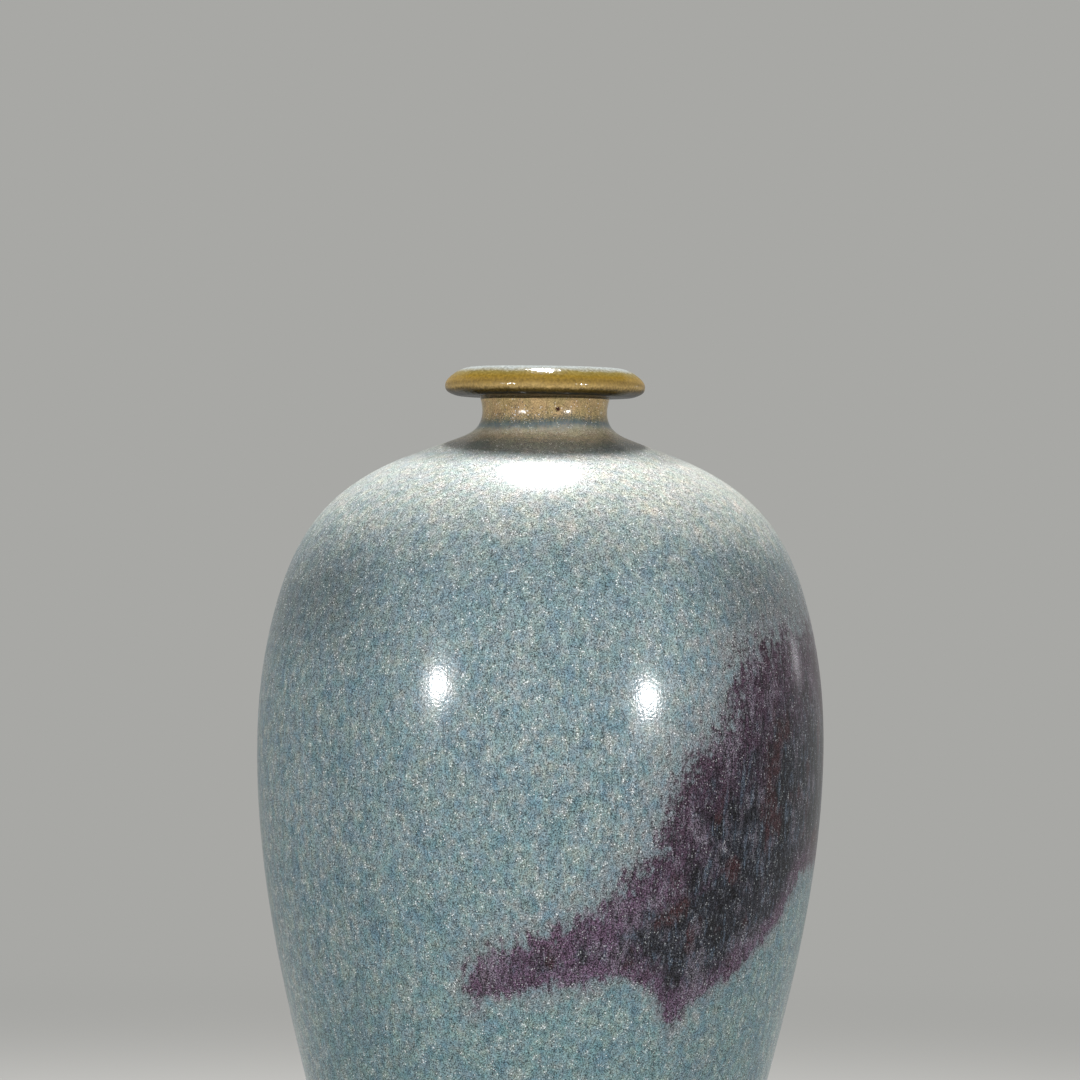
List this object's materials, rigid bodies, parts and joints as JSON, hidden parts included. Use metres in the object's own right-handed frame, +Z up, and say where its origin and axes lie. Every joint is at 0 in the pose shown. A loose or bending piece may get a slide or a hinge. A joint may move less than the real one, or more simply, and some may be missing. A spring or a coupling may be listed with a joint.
{
  "type": "meiping vase",
  "caption": "Tall stoneware flower vase with high round shoulders, a short narrow neck and a rolled mouth ring, under a thick speckled blue-green glaze with a purple copper splash.",
  "frame": {"origin": "centre of the foot ring on the surface that the vase stands on", "axes": "+Z up along the vase's axis of turning; -Y faces the viewer of the picture and +X is to their right"},
  "size_m": [0.166, 0.166, 0.2902],
  "materials": {
    "sky_glaze": "thick opaque blue-green glaze with milky speckle and a purple copper splash, satin to glossy",
    "olive_glaze": "thin glossy olive-brown glaze over stoneware",
    "lining_glaze": "plain blue-grey glaze, glossy",
    "base_wash": "thin matt brown iron wash",
    "stoneware": "bare fired buff-brown stoneware with turning rings, matt",
    "luting_slip": "fired clay slip, matt"
  },
  "bodies": {
    "root": {"foot_ring": "stoneware", "foot_slip": "luting_slip", "lower_body": "stoneware", "belly_slip": "luting_slip", "upper_body": "stoneware", "neck_slip": "luting_slip", "neck_collar": "stoneware", "mouth_slip": "luting_slip", "mouth_ring": "stoneware", "outer_glaze": "sky_glaze", "mouth_glaze": "olive_glaze", "inner_glaze": "lining_glaze", "base_glaze": "base_wash"}
  },
  "joints": []
}
